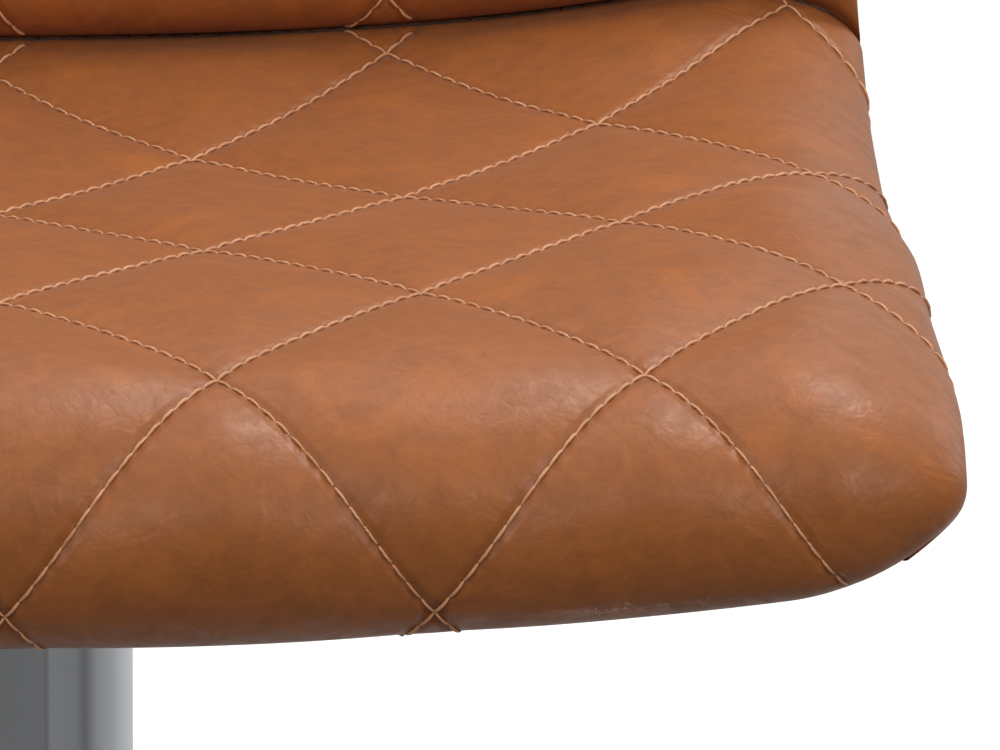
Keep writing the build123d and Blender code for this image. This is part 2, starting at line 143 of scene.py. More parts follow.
SEAT_LINE = Line(
    [(-262, 108), (-240, 98), (-222, 80), (-205, 54), (-190, 32), (-175, 15), (-155, 6), (-130, 2.5),
     (-95, -0.5), (-50, -2.6), (0, -2.9), (50, -2.1), (95, 1.2), (130, 6.5), (160, 13), (195, 22)],
    16, (0, 7), 0)
CREASE_Y, CREASE_Z, _ = (float(v) for v in SEAT_LINE.at(CREASE_B))
BACK_LINE = Line(
    [(0, 165), (3, 152), (8, 122), (16, 101), (34, 88), (60, 79), (120, 77), (200, 76), (300, 77)],
    4, (CREASE_Y, CREASE_Z), 0)


def seat_half(b):
    """Half width of the flat seat."""
    front = HALF_WIDTH + FRONT_FLARE * smooth(-90, -180, b)
    return front + (REAR_HALF - HALF_WIDTH) * smooth(-60, 60, b)


def front_edge(a):
    """Where the flat seat starts; the middle is furthest forward."""
    return FRONT_EDGE + FRONT_BOW * (a / BOW_AT) ** 2


def crease_b(a):
    """Where the flat seat ends, at the crease."""
    return CREASE_B - CREASE_BOW * np.minimum(np.abs(a) / BOW_AT, 1.1) ** 2


def back_half(c):
    """Half width of the flat back."""
    return REAR_HALF - (REAR_HALF - BACK_TOP_HALF) * np.clip(c / BACK_LENGTH, 0, 1) ** 0.8


def dish(a, b):
    """How far the sides rise above the middle: mostly square, straight near the edge."""
    rise = np.interp(b, [-250, -171, -102, -33, 36, 186], [0, 0.8, 3.8, 7.2, 8.2, 9.0])
    corner = np.interp(b, [60, 130, 186], [0, 1.2, 3.6])
    q = np.abs(a) / 150
    return rise * np.where(q < 1.1, q ** 2, 1.21 + (q - 1.1) * 1.2) + corner * np.minimum(q, 1.25) ** 4


def roll(edge):
    """Drop of the rounded edge at a distance from the outline."""
    t = np.clip(1 - edge / ROLL_W, 0, 1)
    return ROLL_H * (1 - np.sqrt(np.clip(1 - t * t, 0, 1)))


def seat_edge(a, b):
    """Distance inside the seat's outline, on the flat leather."""
    side, front = seat_half(b) - np.abs(a), b - front_edge(a)
    corner = (side < FRONT_R) & (front < FRONT_R)
    rounded = FRONT_R - np.hypot(FRONT_R - side, FRONT_R - front)
    return np.where(corner, rounded, np.minimum(side, front))


def back_edge(a, c):
    """Distance inside the back's outline, on the flat leather."""
    side, top = back_half(c) - np.abs(a), BACK_LENGTH - c
    corner = (side < BACK_R) & (top < BACK_R)
    rounded = BACK_R - np.hypot(BACK_R - side, BACK_R - top)
    return np.where(corner, rounded, np.minimum(side, top))


def in_corner(a, b):
    """The seat's front corners, where the stitching stops short of the edge."""
    return (b < FRONT_EDGE + CORNER_RUN) & (np.abs(a) > CORNER_X)


def quilt_coordinates(a, b):
    """Each family of stitch lines lies at the whole numbers of one coordinate."""
    p, q = (a - QUILT_A) / DIAMOND_W, (b - QUILT_B) / DIAMOND_L
    return p - q, p + q


def valley(distance):
    """1 on a stitch line, 0 from PUFF_W away."""
    return (1 - np.clip(distance / PUFF_W, 0, 1)) ** 2


def puff(a, b, edge, crease_distance):
    """The quilting's relief above the stitch lines."""
    u, v = quilt_coordinates(a, b)
    first = np.abs(u - np.round(u)) * LINE_GAP
    second = np.abs(v - np.round(v)) * LINE_GAP
    fall = (valley(first) ** 4 + valley(second) ** 4) ** 0.25
    fade = 0.3 + 0.7 * smooth(0, 40, edge)
    lumps = 0.35 * np.sin(a / 23 + 1.3 * np.sin(b / 31)) + 0.25 * np.sin(b / 17 + a / 41)
    return (PUFF + lumps) * (1 - np.minimum(fall, 1.1)) * fade * smooth(-1, 22, crease_distance)


def crease_fall(distance):
    """1 at the sewn crease, 0 from CREASE_SOFT away."""
    return (1 - smooth(0, CREASE_SOFT, distance)) ** 2


def seat_point(a, b, edge):
    """A point of the seat's leather, edge inside its outline."""
    y, z, slope = SEAT_LINE.at(b)
    to_crease = crease_b(a) - b
    normal = dish(a, b) - roll(edge) + puff(a, b, edge, to_crease)
    normal = normal - CREASE_DROP * crease_fall(to_crease)
    x = a * (1 - CREASE_DRAW * crease_fall(to_crease))
    return np.stack([x, y - np.sin(slope) * normal, z + np.cos(slope) * normal], -1)


def back_point(a, c, edge):
    """A point of the back's leather, c up from the crease and edge inside its outline."""
    y0, z0, slope = BACK_LINE.at(c)
    at_crease = crease_b(a)
    sy, sz, seat_slope = SEAT_LINE.at(at_crease)
    rise = dish(a, at_crease)
    fade = 1 - smooth(0, 200, c)
    wrap = 0.5 * BACK_WRAP * (a / BOW_AT) ** 2 * smooth(0, 300, c)
    y = y0 + (sy - CREASE_Y) - np.sin(seat_slope) * rise * fade - wrap
    z = z0 + (sz - CREASE_Z) * fade + np.cos(seat_slope) * rise * fade
    inward = back_inward(slope, c)
    depth = roll(edge)
    out = BACK_FILL * smooth(0, 16, c) * (1 - smooth(30, 120, c)) * smooth(0, 60, edge)
    out = out + puff(a, at_crease - c, edge, c)
    y = y + np.cos(inward) * depth + np.cos(slope + math.pi / 2) * out
    z = z + np.sin(inward) * depth + np.sin(slope + math.pi / 2) * out
    return np.stack([a * (1 - CREASE_DRAW * crease_fall(c)), y, z], -1)


def back_inward(slope, c):
    """Direction from the back's leather into the pad; at the crease it is the crease's own."""
    share = smooth(0, 45, c)
    return (slope - math.pi / 2) * share + BISECTOR * (1 - share)


# ---- the rear panel and the underside -----------------------------------------------------------
PANEL_Y = 104.0           # the rear panel starts here, under the seat
BEND_R, BEND_ANGLE = 100.0, 78.0
BEND_RUN = BEND_R * math.radians(BEND_ANGLE)
FLAT_RUN = 14.0           # flat part of the rear panel before the bend
CREASE_RUN = 99.0         # where the panel passes behind the crease
TOP_RUN = 411.0           # the panel's run at the top of the back
PANEL_INSET = 11.0        # its stitched edge is this far inside the outline
REAR_LINE = Line([(0, 0), (FLAT_RUN, 0), (FLAT_RUN + BEND_RUN, BEND_ANGLE), (520, BEND_ANGLE)],
                 6, (PANEL_Y, UNDERSIDE), 0)


def rear_point(a, run, lift=0.0):
    """A point of the rear surface, run along it from under the seat to the top of the back."""
    y, z, slope = REAR_LINE.at(run)
    share = smooth(0, CREASE_RUN, run) + 0.5 * smooth(CREASE_RUN, 400, run)
    wrap = BACK_WRAP * (a / BOW_AT) ** 2 * share
    return np.stack([a, y + np.sin(slope) * lift - wrap, z - np.cos(slope) * lift], -1)


# ---- mesh helpers -------------------------------------------------------------------------------
EDGE_ROWS = 25            # grid lines over a rounded edge
TURN_ROWS = 11            # and round the turn to the underside


def edge_steps(length, spacing, rolled_end):
    """Places along a sheet, close together in the rounded edges."""
    rolled = ROLL_W * (1 - np.cos(np.linspace(0, math.pi / 2, EDGE_ROWS)))
    high = length - rolled[::-1] if rolled_end else np.array([length])
    count = int((high[0] - rolled[-1]) / spacing)
    return np.concatenate([rolled, np.linspace(rolled[-1], high[0], count + 1)[1:-1], high])


def rounded_grid(half, length, radius, half_at, spacing=GRID):
    """A grid over a sheet with two rounded corners, f from its far edge: (a, f, edge distance)."""
    x = edge_steps(2 * half, spacing, True) - half
    f = edge_steps(length, spacing, False)
    x, f = np.meshgrid(x, f)
    s = np.maximum((np.abs(x) - (half - radius)) / radius, 0)
    t = np.maximum((radius - f) / radius, 0)
    corner = (s > 0) & (t > 0)
    s2 = np.where(corner, s * np.sqrt(1 - t * t / 2), s)
    t2 = np.where(corner, t * np.sqrt(1 - s * s / 2), t)
    f = np.where(corner, radius * (1 - t2), f)
    straight = half_at(f) - radius
    k = np.clip(np.abs(x) / (half - radius), 0, 1)
    a = np.sign(x) * (k * straight + radius * s2)
    side = (1 - k) * straight + radius * (1 - s2)
    edge = np.where(corner, radius * (1 - np.hypot(s2, t2)), np.minimum(side, f))
    return a, f, np.maximum(edge, 0)


def path_round(grid):
    """The grid's border from one end of its last row, round the first row, to the other end."""
    return np.concatenate([grid[::-1, 0], grid[0, 1:-1], grid[:, -1]])


def inward_direction(a, f, half, radius):
    """Unit direction into the sheet at its border, across and along."""
    side = half - np.abs(a)
    across = np.where(side < radius, -(radius - side) * np.sign(a), 0.0)
    along = np.where(f < radius, radius - f, 0.0)
    length = np.hypot(across, along)
    return np.stack([across, along], -1) / length[:, None]


class Skin:
    """Collects one leather piece: its points, flat sheet coordinates and quads."""

    def __init__(self):
        self.points, self.flat, self.faces, self.count = [], [], [], 0

    def row(self, points, flat):
        """Adds points and returns their numbers."""
        points = np.asarray(points, float).reshape(-1, 3)
        self.points.append(points)
        self.flat.append(np.asarray(flat, float).reshape(-1, 2))
        numbers = np.arange(self.count, self.count + len(points))
        self.count += len(points)
        return numbers

    def join(self, lower, upper, flip=False):
        """Quads between two rows."""
        quads = np.stack([lower[:-1], lower[1:], upper[1:], upper[:-1]], -1)
        self.faces.append(quads[:, ::-1] if flip else quads)

    def arrays(self):
        return np.concatenate(self.points), np.concatenate(self.flat), np.concatenate(self.faces)


def add_mesh(name, points, faces, material, uvs=None):
    """A smooth mesh from points in millimetres about the seat's reference."""
    mesh = bpy.data.meshes.new(name)
    placed = np.asarray(points, float) * MM + np.array([0, 0, SEAT_Z * MM])
    mesh.from_pydata(placed.tolist(), [], np.asarray(faces).tolist())
    corner = np.zeros(len(mesh.loops), np.int32)
    mesh.loops.foreach_get("vertex_index", corner)
    for title, values in (uvs or {}).items():
        layer = mesh.uv_layers.new(name=title)
        layer.data.foreach_set("uv", np.asarray(values, np.float32)[corner].ravel())
    mesh.polygons.foreach_set("use_smooth", [True] * len(mesh.polygons))
    mesh.materials.append(material)
    made = bpy.data.objects.new(name, mesh)
    bpy.context.scene.collection.objects.link(made)
    return made


def add_leather(name, skin, material, edge_at=seat_edge):
    """A leather piece; where it is turned under, its quilt coordinates keep clear of the lines."""
    points, flat, faces = skin.arrays()
    quilt = np.stack(quilt_coordinates(flat[:, 0], flat[:, 1]), -1)
    a, b = flat[:, 0], flat[:, 1]
    under = edge_at(a, b) < np.where(in_corner(a, b), CORNER_BARE, HOLES_OVER)
    quilt[under] = np.floor(quilt[under]) + 0.5
    return add_mesh(name, points, faces, material, {"sheet": flat * MM, "quilt": quilt})


def direction(angle):
    """Unit vectors in the side view, from angles."""
    return np.stack([np.zeros_like(angle), np.cos(angle), np.sin(angle)], -1)


def roll_under(skin, border, start, depth_way, target, flat, inward, flip):
    """Rolls the leather from the sheet's border round the edge to the target points."""
    reach = target - start
    deep = (reach * depth_way).sum(-1, keepdims=True) * depth_way
    across = reach - deep
    last, previous, run = border, start, 0.0
    for turn in np.linspace(0, math.pi / 2, TURN_ROWS)[1:]:
        points = start + across * (1 - math.cos(turn)) ** 1.2 + deep * math.sin(turn)
        run = run + np.linalg.norm(points - previous, axis=-1, keepdims=True)
        previous = points
        ring = skin.row(points, flat - inward * run)
        skin.join(last, ring, flip)
        last = ring
    return last, flat - inward * run


# ---- the seat's leather -------------------------------------------------------------------------
OPENING_X, OPENING_FRONT = HALF_WIDTH - 30.0, -108.0       # the dust cover shows inside the leather
UNDER_INSET = 20.0        # the turn to the underside ends this far inside the outline
CORNER_INSET = 0.45       # share taken off that in the front corners
FRONT_DEPTH, SIDE_DEPTH, CORNER_DEPTH = 13.0, 30.0, 5.0    # most depth of the turn, by place
CORNER_ACROSS, CORNER_ALONG = (165, 200), (-226, -190)     # the corner's depth fades over these
SIDE_ALONG = (-228, -150)                                  # and the side's depth over this
UNDER_ROWS = 9            # grid lines from the turn to the opening
TUCK = 8.0                # leather hidden in the crease or under the rear panel
LEATHER_T = 1.4
TUCK_STEPS = ((2.0, 10.0), (5.0, -30.0), (TUCK, -60.0))    # reach and angle of the leather in the crease


def underside_z(y):
    """Height of the underside's leather, which sinks towards the front."""
    return np.interp(y, [-186, -168, -145, -110], [-50.0, -44.0, -37.5, UNDERSIDE])


def even(values, reach=14):
    """Takes the kinks out of values along a border."""
    kernel = np.hanning(2 * reach + 3)[1:-1]
    return np.convolve(np.pad(values, reach, mode="edge"), kernel / kernel.sum(), "valid")


def seat_skin():
    """The seat's leather: the top, its tuck into the crease, and the turn to the underside."""
    length = CREASE_B - FRONT_EDGE
    a, f, edge = rounded_grid(HALF_WIDTH, length, FRONT_R, lambda f: seat_half(FRONT_EDGE + f))
    b = front_edge(a) + (crease_b(a) - front_edge(a)) * f / length
    points = seat_point(a, b, edge)
    skin = Skin()
    flat = np.stack([a, b], -1)
    rows = [skin.row(*row) for row in zip(points, flat)]
    for lower, upper in zip(rows, rows[1:]):
        skin.join(lower, upper)
    last = rows[-1]
    for reach, angle in TUCK_STEPS:
        tucked = points[-1] + reach * direction(np.radians(np.full(len(last), angle)))
        row = skin.row(tucked, flat[-1] + [0, reach])
        skin.join(last, row)
        last = row
    # round the edge and under the seat
    border, start, ends = path_round(np.array(rows)), path_round(points), path_round(flat)
    a, b, f = ends[:, 0], ends[:, 1], path_round(f)
    inward = inward_direction(a, f, seat_half(FRONT_EDGE + f), FRONT_R)
    slope = SEAT_LINE.at(b)[2]
    rear = np.clip((b - PANEL_Y) / (crease_b(a) - PANEL_Y), 0, 1)
    inset = UNDER_INSET - (UNDER_INSET - PANEL_INSET) * smooth(60, PANEL_Y, b)
    inset = inset * (1 - CORNER_INSET * smooth(150, 190, np.abs(a)) * (1 - smooth(-222, -160, b)))
    x = a + inset * inward[:, 0]
    y = start[:, 1] + inset * inward[:, 1]
    front_corner = smooth(*CORNER_ACROSS, np.abs(a)) * (1 - smooth(*CORNER_ALONG, b))
    deepest = FRONT_DEPTH - (FRONT_DEPTH - CORNER_DEPTH) * front_corner
    deepest = deepest + (SIDE_DEPTH - FRONT_DEPTH) * smooth(*SIDE_ALONG, b)
    z = even(np.maximum(underside_z(y), start[:, 2] - deepest))
    target = np.stack([x, y, z], -1)
    behind = rear_point(x, CREASE_RUN * rear)
    target = np.where((b > PANEL_Y)[:, None], behind, target)
    last, ends = roll_under(skin, border, start, direction(slope - math.pi / 2), target,
                            ends, inward, True)
    hidden = smooth(PANEL_Y, PANEL_Y + 22, b)
    limit = OPENING_X + (HALF_WIDTH - PANEL_INSET - TUCK - OPENING_X) * hidden
    final = np.stack([np.clip(x, -limit, limit), np.clip(target[:, 1], OPENING_FRONT, None),
                      np.full(len(x), UNDERSIDE)], -1)
    final = np.where((b > PANEL_Y)[:, None], rear_point(final[:, 0], CREASE_RUN * rear, -1.0), final)
    for share in np.linspace(0, 1, UNDER_ROWS)[1:]:
        points = target + (final - target) * share
        row = skin.row(points, ends - inward * np.linalg.norm(points - target, axis=-1)[:, None])
        skin.join(last, row, True)
        last = row
    row = skin.row(points + [0, 0, LEATHER_T], ends)
    skin.join(last, row, True)
    return skin


# ---- the back's leather -------------------------------------------------------------------------
def run_of(c):
    """Where the rear surface lies behind a point of the back."""
    return CREASE_RUN + (TOP_RUN - CREASE_RUN) * c / BACK_LENGTH


def back_skin():
    """The back's leather: the front, its tuck into the crease, and the turn to the rear panel."""
    a, f, edge = rounded_grid(REAR_HALF, BACK_LENGTH, BACK_R, lambda f: back_half(BACK_LENGTH - f))
    c = BACK_LENGTH - f
    points = back_point(a, c, edge)
    skin = Skin()
    flat = np.stack([a, crease_b(a) - c], -1)
    rows = [skin.row(*row) for row in zip(points, flat)]
    for upper, lower in zip(rows, rows[1:]):
        skin.join(lower, upper)
    tucked = points[-1] + TUCK * direction(np.full(len(rows[-1]), BISECTOR))
    row = skin.row(tucked, flat[-1] + [0, TUCK])
    skin.join(row, rows[-1])
    border, start, ends = path_round(np.array(rows)), path_round(points), path_round(flat)
    a, c, f = ends[:, 0], path_round(c), path_round(f)
    inward = inward_direction(a, f, back_half(c), BACK_R)
    way = direction(back_inward(BACK_LINE.at(c)[2], c))
    run = run_of(c)
    target = rear_point(a + PANEL_INSET * inward[:, 0], run - PANEL_INSET * inward[:, 1])
    last, ends = roll_under(skin, border, start, way, target, ends, inward, False)
    inset = PANEL_INSET + TUCK
    hidden = rear_point(a + inset * inward[:, 0], run - inset * inward[:, 1], -1.0)
    row = skin.row(hidden, ends - inward * TUCK)
    skin.join(last, row)
    return skin


# ---- the rear panel -----------------------------------------------------------------------------
PANEL_LIFT = 1.5          # how far the panel stands off the leather around it
PANEL_GRID = 4.0
SEAM_IN = 4.5             # its row of stitches is this far inside its edge
SEAM_PITCH = 4.2


def panel_half(run):
    """Half width of the rear panel at a run."""
    seat_part = seat_half(PANEL_Y + run * (CREASE_B - PANEL_Y) / CREASE_RUN)
    back_part = back_half((run - CREASE_RUN) / (TOP_RUN - CREASE_RUN) * BACK_LENGTH)
    return np.where(run < CREASE_RUN, seat_part, back_part) - PANEL_INSET


def panel_skin():
    """The plain leather behind the back and under the seat's rear."""
    length = TOP_RUN - PANEL_INSET
    a, f, edge = rounded_grid(REAR_HALF - PANEL_INSET, length, BACK_R - PANEL_INSET,
                              lambda f: panel_half(length - f), PANEL_GRID)
    run = length - f
    t = np.clip(1 - edge / 2.5, 0, 1)
    lift = PANEL_LIFT * np.sqrt(1 - t * t) + 1.6 * smooth(5, 60, edge) * smooth(40, 110, run)
    lift += 0.25 * smooth(10, 40, edge) * np.sin(a / 31 + 2 * np.sin(run / 47)) - 0.3 * (edge <= 0)
    lift -= 0.7 * np.exp(-((edge - SEAM_IN) / 1.1) ** 2) * (run > 3)
    points = rear_point(a, run, lift)
    skin = Skin()
    flat = np.stack([a, -run], -1)
    rows = [skin.row(*row) for row in zip(points, flat)]
    for upper, lower in zip(rows, rows[1:]):
        skin.join(lower, upper, True)
    row = skin.row(points[-1] + [0, 0, LEATHER_T + PANEL_LIFT], flat[-1] + [0, 2])
    skin.join(row, rows[-1], True)
    return skin


# ---- stitches -----------------------------------------------------------------------------------
THREAD_RISE, THREAD_SUNK = 0.6, 0.22      # height of a stitch's middle, and depth of its ends
THREAD_SIDES, THREAD_STEPS = 6, 7
OFF_SHEET = 0.3           # a place further than this from the flat sheet is off the piece
LONGEST = 9.0             # a longer stitch would bridge a fold, so it is left out


class Surface:
    """Finds the place on a leather piece that belongs to a point of its flat sheet."""

    def __init__(self, skin):
        self.points, flat, self.faces = skin.arrays()
        self.flat = np.concatenate([flat, np.zeros((len(flat), 1))], 1)
        self.tree = BVHTree.FromPolygons(self.flat.tolist(), self.faces.tolist())

    def at(self, a, b):
        """(point, normal), or None off the piece."""
        near, _, index, distance = self.tree.find_nearest(Vector((a, b, 0)))
        if near is None or distance > OFF_SHEET:
            return None
        face = self.faces[index]
        weights = poly_3d_calc([Vector(p) for p in self.flat[face]], near)
        corners = self.points[face]
        normal = np.cross(corners[2] - corners[0], corners[3] - corners[1])
        size = np.linalg.norm(normal)
        if size < 1e-6:
            return None
        return np.array(weights) @ corners, normal / size


def sew(surface, lines, radius=THREAD_R):
    """Tubes for stitches, each a pair of flat points (start, end), as (points, faces)."""
    sides, steps = THREAD_SIDES, THREAD_STEPS
    paths, normals = [], []
    for start, end in lines:
        found = [surface.at(*(start + (end - start) * t)) for t in np.linspace(0.01, 0.99, steps)]
        if any(place is None for place in found):
            continue
        height = THREAD_RISE * np.sin(np.linspace(0, math.pi, steps)) ** 0.6 - THREAD_SUNK
        path = np.array([p + n * h for (p, n), h in zip(found, height)])
        if np.linalg.norm(path[-1] - path[0]) > LONGEST:
            continue
        paths.append(path)
        normals.append([n for _, n in found])
    paths, normals = np.array(paths), np.array(normals)
    tangent = np.gradient(paths, axis=1)
    tangent /= np.linalg.norm(tangent, axis=-1, keepdims=True)
    side = np.cross(tangent, normals)
    side /= np.linalg.norm(side, axis=-1, keepdims=True)
    up = np.cross(side, tangent)
    turn = np.linspace(0, 2 * math.pi, sides, endpoint=False)
    thick = radius * (0.72 + 0.28 * np.sin(np.linspace(0, math.pi, steps)))[None, :, None, None]
    ring = (side[:, :, None] * np.cos(turn)[:, None] + up[:, :, None] * np.sin(turn)[:, None]) * thick
    points = (paths[:, :, None] + ring).reshape(-1, 3)
    number = np.arange(len(points)).reshape(len(paths), steps, sides)
    following = np.roll(number, -1, axis=2)
    faces = np.stack([number[:, :-1], following[:, :-1], following[:, 1:], number[:, 1:]], -1)
    return points, faces.reshape(-1, 4)


def quilt_stitches(low, high, half, family):
    """Stitches of one family of quilting lines over the sheet from b=low to b=high."""
    found = []
    for line in range(-12, 13):
        for k in range(-14 * STITCHES, 14 * STITCHES):
            ends = []
            for step in (k, k + 1):
                along = step / STITCHES
                u, v = (line, along) if family == 0 else (along, line)
                ends.append(np.array([QUILT_A + DIAMOND_W * (u + v) / 2,
                                      QUILT_B + DIAMOND_L * (v - u) / 2]))
            middle = (ends[0] + ends[1]) / 2
            if abs(middle[0]) < half and low < middle[1] < high:
                found.append(tuple(ends))
    return found


def along_path(points, pitch):
    """Stitches end to end along a path on the sheet."""
    points = np.array(points, float)
    run = np.concatenate([[0], np.cumsum(np.linalg.norm(np.diff(points, axis=0), axis=1))])
    marks = np.arange(0, run[-1], pitch)
    placed = np.stack([np.interp(marks, run, points[:, i]) for i in (0, 1)], -1)
    return list(zip(placed[:-1], placed[1:]))


# ---- materials ----------------------------------------------------------------------------------
def srgb(*values):
    """Linear colour from sRGB numbers of 0 to 255."""
    linear = [v / 255 / 12.92 if v <= 10 else ((v / 255 + 0.055) / 1.055) ** 2.4 for v in values]
    return (*linear, 1.0)


class Paint:
    """A material and short ways to add its nodes."""

    def __init__(self, name, roughness=0.5, metallic=0.0, **fixed):
        self.material = bpy.data.materials.new(name)
        self.material.use_nodes = True
        self.tree = self.material.node_tree
        self.shader = self.tree.nodes["Principled BSDF"]
        self.shader.inputs["Roughness"].default_value = roughness
        self.shader.inputs["Metallic"].default_value = metallic
        for key, value in fixed.items():
            self.shader.inputs[key.replace("_", " ")].default_value = value
        self.normal = None

    def put(self, socket, value):
        if isinstance(value, bpy.types.NodeSocket):
            self.tree.links.new(value, socket)
        elif value is not None:
            socket.default_value = value

    def node(self, kind, out=0, **inputs):
        made = self.tree.nodes.new("ShaderNode" + kind)
        for key, value in inputs.items():
            if hasattr(made, key):
                setattr(made, key, value)
            else:
                self.put(made.inputs[key.replace("_", " ")], value)
        return made.outputs[out]

    def math(self, operation, first, second=None):
        made = self.tree.nodes.new("ShaderNodeMath")
        made.operation = operation
        for socket, value in zip(made.inputs, (first, second)):
            self.put(socket, value)
        return made.outputs[0]

    def place(self):
        return self.node("TexCoord", 3)

    def uv(self, name):
        return self.node("UVMap", uv_map=name)

    def noise(self, where, scale, detail=3.0, rough=0.5, distortion=0.0):
        return self.node("TexNoise", Vector=where, Scale=scale, Detail=detail, Roughness=rough,
                         Distortion=distortion)

    def span(self, value, low, high, to_low=0.0, to_high=1.0):
        """Maps a value smoothly from one range to another, held at the ends."""
        return self.node("MapRange", Value=value, From_Min=low, From_Max=high, To_Min=to_low,
                         To_Max=to_high, interpolation_type="SMOOTHSTEP")

    def mix(self, share, first, second, blend="MIX"):
        made = self.tree.nodes.new("ShaderNodeMix")
        made.data_type, made.blend_type = "RGBA", blend
        self.put(made.inputs[0], share)
        self.put(made.inputs[6], first)
        self.put(made.inputs[7], second)
        return made.outputs[2]

    def bump(self, height, distance, strength=1.0):
        """Adds one layer of relief, distance in metres for a height of 1."""
        self.normal = self.node("Bump", Height=height, Distance=distance, Strength=strength,
                                Normal=self.normal)

    def done(self, color=None, roughness=None):
        for name, value in (("Base Color", color), ("Roughness", roughness), ("Normal", self.normal)):
            self.put(self.shader.inputs[name], value)
        return self.material


def leather_paint(name, quilted):
    """Cognac leather: mottled dye, pebbled grain, fine creases, and its stitch lines if quilted, with
    painted shade in their grooves and needle holes painted dark as their shade.

    Noise scales are per metre of the flat sheet; off, run and apart are millimetres.
    """
    paint = Paint(name, Specular_IOR_Level=0.34, Sheen_Weight=0.07, Sheen_Roughness=0.45,
                  Sheen_Tint=(1.0, 0.86, 0.78, 1.0))
    sheet = paint.uv("sheet")
    cloud = paint.noise(sheet, 34.0, 4.0, 0.6, 0.6)
    dye = paint.noise(sheet, 150.0, 5.0, 0.62, 0.9)
    speck = paint.noise(sheet, 620.0, 3.0, 0.6)
    color = paint.mix(paint.span(dye, 0.25, 0.75), LEATHER_DARK, LEATHER_LIGHT)
    color = paint.mix(paint.span(cloud, 0.5, 0.74, 0.0, 0.5), color, LEATHER_ORANGE)
    color = paint.mix(paint.span(speck, 0.55, 0.8, 0.0, 0.16), color, LEATHER_SPECK_AND_GROOVE_SHADE)
    warp = paint.mix(0.0025, sheet, paint.node("TexNoise", 1, Vector=sheet, Scale=90.0))
    pebble = paint.node("TexVoronoi", Vector=warp, Scale=760.0, feature="SMOOTH_F1", Smoothness=0.6)
    crack = paint.node("TexVoronoi", Vector=warp, Scale=210.0, feature="DISTANCE_TO_EDGE")
    crack = paint.span(crack, 0.0, 0.09)
    soft = paint.noise(sheet, 70.0, 3.0, 0.5, 1.2)
    paint.bump(soft, 0.0011, 0.4)
    paint.bump(crack, 0.00005, 0.35)
    paint.bump(pebble, -0.00011, 0.5)
    paint.bump(speck, 0.00008, 0.4)
    rough = paint.span(dye, 0.3, 0.7, 0.5, 0.39)
    if quilted:
        u, v = (paint.node("SeparateXYZ", i, Vector=paint.uv("quilt")) for i in (0, 1))
        for line, along, holes in ((u, v, 0.6), (v, u, 0.2)):
            off = paint.math("ABSOLUTE", paint.math("SUBTRACT", line, paint.math("ROUND", line)))
            off = paint.math("MULTIPLY", off, LINE_GAP)
            pull = paint.math("MULTIPLY", paint.math("PINGPONG", along, 0.5 / STITCHES), STITCHES * 2)
            groove = paint.span(off, 0.2, 2.8)
            paint.bump(groove, 0.0008, 0.7)
            pucker = paint.math("MULTIPLY", paint.span(pull, 0.0, 1.0), paint.span(off, 0.4, 6.0, 1.0, 0.0))
            paint.bump(pucker, 0.0003, 0.5)
            # painted shade: within 2 mm of a stitch line the leather is mixed towards the deep tone, which
            # shades its groove
            near = paint.span(off, 0.2, 2.0, 0.22, 0.0)
            color = paint.mix(near, color, LEATHER_SPECK_AND_GROOVE_SHADE)
            run = paint.math("MULTIPLY", pull, CELL_RUN / STITCHES / 2)
            apart = paint.math("POWER", paint.math("ADD", paint.math("MULTIPLY", off, off),
                                                   paint.math("MULTIPLY", run, run)), 0.5)
            # painted shade: a dark spot at each needle hole, where the stitch goes into the leather
            hole_shade = paint.span(apart, 0.3, 0.75, holes, 0.0)
            color = paint.mix(hole_shade, color, HOLE_SHADE_COLOR)
    return paint.done(color, rough)


def thread_paint(name, light, dark):
    """Twisted thread of two tones."""
    paint = Paint(name, 0.62, Sheen_Weight=0.2)
    where = paint.place()
    twist = paint.node("TexWave", Vector=where, Scale=900.0, Distortion=3.0, bands_direction="DIAGONAL")
    paint.bump(twist, 0.0002, 0.6)
    tone = paint.noise(where, 90.0)
    return paint.done(paint.mix(paint.span(tone, 0.3, 0.7), light, dark))


def metal_paint(name, color, roughness, brushed=0.0):
    """Bare or plated metal with faint marks; brushed adds lines round the column's axis."""
    paint = Paint(name, roughness, 1.0)
    where = paint.place()
    smudge = paint.noise(where, 18.0, 4.0, 0.6, 0.4)
    fine = paint.noise(where, 260.0, 3.0)
    if brushed:
        stretch = paint.node("Mapping", Vector=where, Scale=(30.0, 30.0, 1600.0))
        paint.bump(paint.noise(stretch, 1.0, 2.0), 0.00004, brushed)
    else:
        paint.bump(paint.noise(where, 9.0, 2.0), 0.0004, 0.12)
    tint = paint.mix(paint.span(smudge, 0.35, 0.7, 0.0, 0.5), color, [c * 0.93 for c in color[:3]] + [1])
    rough = paint.span(paint.math("ADD", smudge, paint.math("MULTIPLY", fine, 0.3)), 0.35, 0.95,
                       roughness * 0.75, roughness * 1.35)
    return paint.done(tint, rough)


def powder_paint():
    """Black powder coat with orange peel."""
    paint = Paint("black_powder_coat", 0.42)
    where = paint.place()
    peel = paint.noise(where, 520.0, 2.0)
    paint.bump(peel, 0.00025, 0.5)
    tone = paint.noise(where, 40.0)
    color = paint.mix(paint.span(tone, 0.3, 0.7), srgb(26, 26, 27), srgb(36, 36, 37))
    return paint.done(color, paint.span(peel, 0.3, 0.7, 0.34, 0.5))


def moulded_paint(name, dark, light, roughness, grain=0.00012):
    """Plastic or rubber with a fine moulded texture."""
    paint = Paint(name, roughness)
    where = paint.place()
    spark = paint.node("TexVoronoi", Vector=where, Scale=1400.0)
    paint.bump(spark, grain, 0.5)
    tone = paint.noise(where, 30.0, 4.0)
    color = paint.mix(paint.span(tone, 0.3, 0.7), dark, light)
    return paint.done(color, paint.span(tone, 0.3, 0.7, roughness * 0.88, roughness * 1.1))


